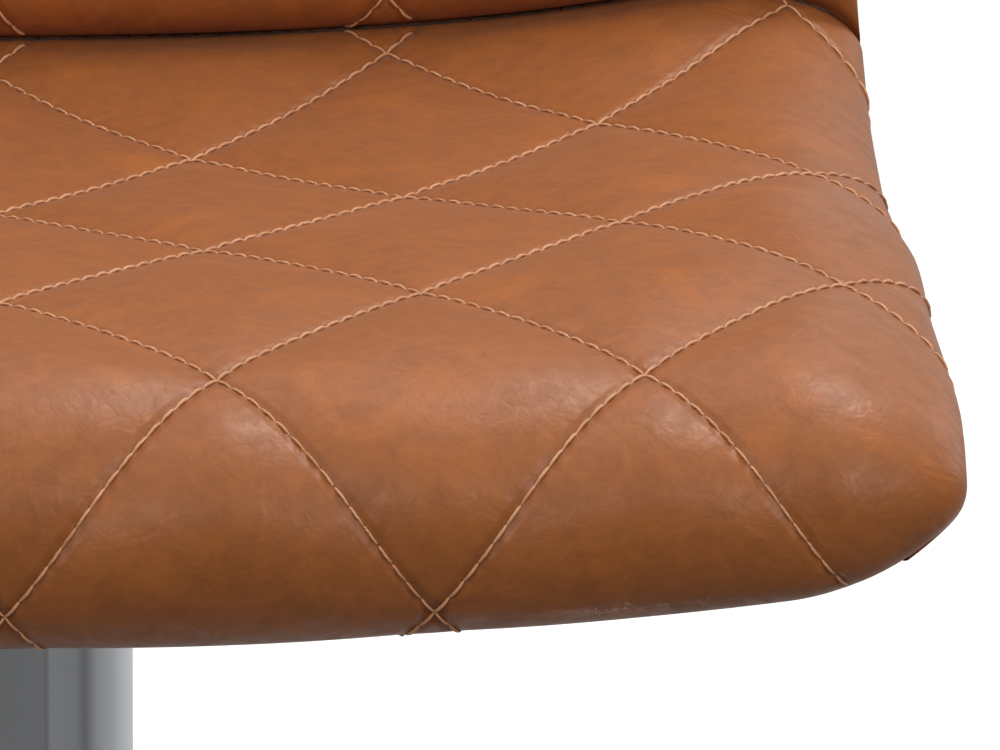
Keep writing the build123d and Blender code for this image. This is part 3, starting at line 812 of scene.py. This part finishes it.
def cast_paint():
    """Rough cast iron under primer."""
    paint = Paint("cast_iron_primer", 0.7, 0.2)
    where = paint.place()
    paint.bump(paint.noise(where, 240.0, 6.0, 0.7), 0.0009, 0.8)
    tone = paint.noise(where, 60.0, 5.0)
    return paint.done(paint.mix(paint.span(tone, 0.3, 0.75), srgb(48, 47, 46), srgb(72, 70, 68)))


def cloth_paint():
    """Black non-woven cloth: pressed fibres and rows of small weld points."""
    paint = Paint("non_woven_cloth", 0.92, Sheen_Weight=0.35, Sheen_Roughness=0.6)
    where = paint.place()
    stretch = paint.node("Mapping", Vector=where, Scale=(500.0, 1500.0, 500.0), Rotation=(0, 0, 0.6))
    fibre = paint.noise(stretch, 1.0, 4.0, 0.7, 1.5)
    dots = paint.node("TexVoronoi", Vector=where, Scale=420.0, Randomness=0.15)
    dots = paint.span(dots, 0.22, 0.36)
    paint.bump(fibre, 0.0003, 0.6)
    paint.bump(dots, 0.0004, 0.7)
    color = paint.mix(paint.span(fibre, 0.35, 0.7), srgb(24, 24, 26), srgb(50, 50, 53))
    return paint.done(paint.mix(paint.span(dots, 0, 1, 0.6, 0.0), color, srgb(14, 14, 15)))


def plywood_paint():
    """Moulded beech plywood: plies at the edge, long pores on the face."""
    paint = Paint("beech_plywood", 0.55)
    where = paint.place()
    stretch = paint.node("Mapping", Vector=where, Scale=(260.0, 14.0, 260.0))
    grain = paint.noise(stretch, 1.0, 5.0, 0.6, 0.3)
    plies = paint.node("TexWave", Vector=where, Scale=210.0, Distortion=0.4, bands_direction="Z")
    color = paint.mix(paint.span(grain, 0.3, 0.7), srgb(196, 158, 112), srgb(222, 190, 146))
    color = paint.mix(paint.span(plies, 0.4, 0.6, 0.0, 0.35), color, srgb(168, 128, 88))
    paint.bump(grain, 0.0002, 0.4)
    return paint.done(color)


def foam_paint():
    """Pale open-cell foam."""
    paint = Paint("upholstery_foam", 0.95)
    where = paint.place()
    cells = paint.node("TexVoronoi", Vector=where, Scale=900.0)
    paint.bump(cells, 0.0006, 0.8)
    color = paint.mix(paint.span(cells, 0.1, 0.6), srgb(236, 226, 190), srgb(214, 200, 160))
    return paint.done(color)


LEATHER_DARK, LEATHER_LIGHT = srgb(144, 82, 38), srgb(160, 93, 45)
# the deep tone gives the leather's random dark specks and also the painted shade along the stitch grooves
LEATHER_ORANGE, LEATHER_SPECK_AND_GROOVE_SHADE = srgb(178, 101, 40), srgb(98, 52, 25)
# painted shade: colour of the needle holes
HOLE_SHADE_COLOR = srgb(40, 20, 12)
quilted_leather = leather_paint("quilted_leather", True)
plain_leather = leather_paint("plain_leather", False)
thread = thread_paint("quilting_thread", srgb(204, 138, 90), srgb(228, 166, 118))
seam_thread = thread_paint("seam_thread", srgb(84, 46, 26), srgb(62, 33, 18))
FINISHES = {
    "leather": quilted_leather,
    "rear_leather": plain_leather,
    "foam": foam_paint(),
    "plywood": plywood_paint(),
    "dust_cloth": cloth_paint(),
    "chrome": metal_paint("polished_chrome", srgb(226, 228, 231), 0.07),
    "black_steel": powder_paint(),
    "zinc_steel": metal_paint("zinc_plated_steel", srgb(196, 197, 192), 0.3),
    "ground_steel": metal_paint("ground_steel", srgb(204, 204, 206), 0.24, 0.5),
    "cast_weight": cast_paint(),
    "black_plastic": moulded_paint("black_plastic", srgb(22, 22, 23), srgb(34, 34, 35), 0.48),
    "white_plastic": moulded_paint("natural_nylon", srgb(222, 220, 208), srgb(238, 236, 226), 0.45),
    "rubber": moulded_paint("black_rubber", srgb(24, 24, 24), srgb(38, 37, 36), 0.78, 0.0002),
    "brass": metal_paint("turned_brass", srgb(214, 178, 108), 0.22, 0.35),
}
for title, node in NODES.items():
    node.data.materials.clear()
    node.data.materials.append(FINISHES[SLOTS[title]])

# ---- the upholstery -----------------------------------------------------------------------------
seat, back, panel = seat_skin(), back_skin(), panel_skin()
seat_leather = add_leather("seat_leather", seat, quilted_leather)
back_leather = add_leather("back_leather", back, quilted_leather,
                           lambda a, b: back_edge(a, crease_b(a) - b))
rear_leather = add_leather("rear_leather", panel, plain_leather)

seat_surface, back_surface, panel_surface = Surface(seat), Surface(back), Surface(panel)
threads = []
SPARE = 12.0              # stitches are tried this far past the half width; off the leather they drop
CREASE_BARE = 3.0         # the quilting's stitches stop this far from the crease
for title, surface, low, high in (("seat", seat_surface, FRONT_EDGE - 26, CREASE_B + 2),
                                  ("back", back_surface, -150.0, CREASE_B)):
    for family, radius in ((0, THREAD_R), (1, THREAD_R * 0.8)):
        lines = quilt_stitches(low, high, HALF_WIDTH + SPARE, family)
        kept = []
        for start, end in lines:
            middle = (start + end) / 2
            seat_end = crease_b(middle[0])
            if middle[1] > seat_end - CREASE_BARE:
                continue
            over = seat_edge(*middle) if title == "seat" else back_edge(middle[0], seat_end - middle[1])
            if over > (CORNER_BARE if title == "seat" and in_corner(*middle) else THREAD_OVER):
                kept.append((start, end))
        points, faces = sew(surface, kept, radius)
        threads.append(add_mesh(f"{title}_thread_{family}", points, faces, thread))
across = np.linspace(-REAR_HALF + 6, REAR_HALF - 6, 90)
seam = np.stack([across, crease_b(across) - 1.6], -1)
points, faces = sew(seat_surface, along_path(seam, PITCH))
threads.append(add_mesh("crease_thread", points, faces, seam_thread))
rim = [(float(panel_half(run)) - SEAM_IN, -run) for run in np.linspace(8, TOP_RUN - BACK_R, 60)]
corner_x = float(back_half(BACK_LENGTH - BACK_R)) - BACK_R
reach = BACK_R - PANEL_INSET - SEAM_IN
for turn in np.linspace(0, math.pi / 2, 14)[1:]:
    rim.append((corner_x + reach * math.cos(turn), -(TOP_RUN - BACK_R + reach * math.sin(turn))))
rim += [(-x, y) for x, y in reversed(rim)]
points, faces = sew(panel_surface, along_path(rim, SEAM_PITCH))
threads.append(add_mesh("panel_thread", points, faces, thread))

for piece, stands_for in ((seat_leather, ("seat_cover", "seat_foam")),
                          (back_leather, ("back_cover", "back_foam")),
                          (rear_leather, ("back_panel",))):
    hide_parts(*stands_for)
    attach(piece, "seat")
for piece in threads:
    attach(piece, "seat")

# ---- floor, light and camera --------------------------------------------------------------------
bpy.ops.mesh.primitive_plane_add(size=60.0)
floor = bpy.context.object
floor.name = "studio_floor"
floor.location.z = -0.0003
floor_paint = Paint("studio_floor", 0.9)
spot = floor_paint.place()
floor_paint.bump(floor_paint.noise(spot, 120.0), 0.0004, 0.2)
# The floor is white to look at. In the chrome and under the seat it is a grey studio, dark in front: there
# it is a darker grey and glows by direction, giving painted studio light and painted reflections.
seen_straight = floor_paint.node("LightPath", 0)
x, y = (floor_paint.node("SeparateXYZ", i, Vector=spot) for i in (0, 1))
away = floor_paint.math("POWER", floor_paint.math("ADD", floor_paint.math("MULTIPLY", x, x),
                                                  floor_paint.math("MULTIPLY", y, y)), 0.5)
facing = floor_paint.span(floor_paint.math("DIVIDE", y, away), -1.0, 1.0)
ramp = floor_paint.tree.nodes.new("ShaderNodeValToRGB")
floor_paint.put(ramp.inputs[0], facing)
# painted studio light: the floor's glow by direction from the column, from in front (0) to behind (1), with
# dark bands that the chrome shows as painted reflections
STUDIO_GLOW = ((0.0, 0.07), (0.035, 0.07), (0.045, 0.035), (0.06, 0.13), (0.25, 0.12), (0.36, 0.06),
          (0.42, 0.10), (0.55, 0.21), (0.8, 0.30), (0.93, 0.42), (1.0, 0.5))
while len(ramp.color_ramp.elements) < len(STUDIO_GLOW):
    ramp.color_ramp.elements.new(0.5)
for element, (position, grey) in zip(ramp.color_ramp.elements, STUDIO_GLOW):
    element.position, element.color = position, (grey, grey, grey, 1)
glow = floor_paint.mix(seen_straight, ramp.outputs[0], (0.45, 0.45, 0.45, 1))
floor_paint.put(floor_paint.shader.inputs["Emission Color"], glow)
floor_paint.shader.inputs["Emission Strength"].default_value = 1.0
floor_tone = floor_paint.mix(floor_paint.span(floor_paint.noise(spot, 1.2), 0.3, 0.7),
                             srgb(238, 238, 238), srgb(244, 244, 244))
floor.data.materials.append(floor_paint.done(
    floor_paint.mix(seen_straight, srgb(60, 60, 60), floor_tone)))
# From below the floor is clear, so that the underside can be looked at.
clear = floor_paint.tree.nodes.new("ShaderNodeBsdfTransparent")
two_sided = floor_paint.tree.nodes.new("ShaderNodeMixShader")
floor_paint.put(two_sided.inputs[0], floor_paint.node("NewGeometry", 6))
floor_paint.put(two_sided.inputs[1], floor_paint.shader.outputs[0])
floor_paint.put(two_sided.inputs[2], clear.outputs[0])
floor_paint.put(floor_paint.tree.nodes["Material Output"].inputs["Surface"], two_sided.outputs[0])
floor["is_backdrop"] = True


LIGHT_AIM = Vector((0, 0, 0.6))


def soft_light(name, place, size, power):
    """A round soft lamp that faces the column's axis, 0.6 m up."""
    data = bpy.data.lights.new(name, "AREA")
    data.shape, data.size, data.energy = "DISK", size, power
    lamp = bpy.data.objects.new(name, data)
    lamp.location = place
    lamp.rotation_euler = (LIGHT_AIM - Vector(place)).to_track_quat("-Z", "Y").to_euler()
    bpy.context.scene.collection.objects.link(lamp)


soft_light("overhead", (-0.2, 0.0, 3.0), 2.4, 9.0)
soft_light("right", (2.2, 1.5, 1.5), 1.4, 9.0)
soft_light("edge", (0.9, 0.7, 2.9), 0.7, 22.0)
soft_light("front_right", (1.7, -2.0, 1.9), 1.3, 24.0)
soft_light("front_left", (-1.4, -2.6, 2.0), 2.0, 29.0)

world = bpy.data.worlds.new("studio")
bpy.context.scene.world = world
world.use_nodes = True
sky = world.node_tree
background = sky.nodes["Background"]
output = sky.nodes["World Output"]
look = sky.nodes.new("ShaderNodeTexCoord").outputs["Generated"]
parts = sky.nodes.new("ShaderNodeSeparateXYZ")
sky.links.new(look, parts.inputs[0])


def sky_span(value, low, high, to_low, to_high):
    made = sky.nodes.new("ShaderNodeMapRange")
    made.interpolation_type = "SMOOTHSTEP"
    sky.links.new(value, made.inputs["Value"])
    for name, number in (("From Min", low), ("From Max", high), ("To Min", to_low), ("To Max", to_high)):
        made.inputs[name].default_value = number
    return made.outputs[0]


behind = sky_span(parts.outputs[1], -0.4, 0.9, 0.15, 0.42)
above = sky_span(parts.outputs[2], 0.15, 0.95, 0.0, 0.5)
total = sky.nodes.new("ShaderNodeMath")
total.operation = "ADD"
sky.links.new(behind, total.inputs[0])
sky.links.new(above, total.inputs[1])
sky.links.new(total.outputs[0], background.inputs["Strength"])
background.inputs["Color"].default_value = (1, 1, 1, 1)
white = sky.nodes.new("ShaderNodeBackground")
white.inputs["Strength"].default_value = 1.0
seen = sky.nodes.new("ShaderNodeMixShader")
path = sky.nodes.new("ShaderNodeLightPath")
sky.links.new(path.outputs["Is Camera Ray"], seen.inputs[0])
sky.links.new(background.outputs[0], seen.inputs[1])
sky.links.new(white.outputs[0], seen.inputs[2])
sky.links.new(seen.outputs[0], output.inputs["Surface"])
bpy.context.scene.view_settings.view_transform = "Standard"

# The photograph is a close-up of the seat's right side from in front, a little above the seat.
DISTANCE, ELEVATION, AZIMUTH = 5.0, math.radians(11.0), math.radians(-0.6)
SCALE = 4.14                                         # photograph's pixels in a millimetre at the seat
AIM_RIGHT, AIM_UP = 0.1221, -0.0273                  # picture's middle from the seat's reference
right = Vector((math.cos(AZIMUTH), math.sin(AZIMUTH), 0))
toward = Vector((math.sin(AZIMUTH) * math.cos(ELEVATION), -math.cos(AZIMUTH) * math.cos(ELEVATION),
                 math.sin(ELEVATION)))
up = toward.cross(right)
reference = Vector((0, 0, SEAT_Z * MM))
camera_data = bpy.data.cameras.new("camera")
camera = bpy.data.objects.new("camera", camera_data)
bpy.context.scene.collection.objects.link(camera)
camera.location = reference + toward * DISTANCE
look_at = reference + right * AIM_RIGHT + up * AIM_UP
camera.rotation_euler = (look_at - camera.location).to_track_quat("-Z", "Y").to_euler()
camera_data.sensor_width = 36.0
camera_data.lens = SCALE * DISTANCE * camera_data.sensor_width
camera_data.clip_end = 60.0
bpy.context.scene.camera = camera

low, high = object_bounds()
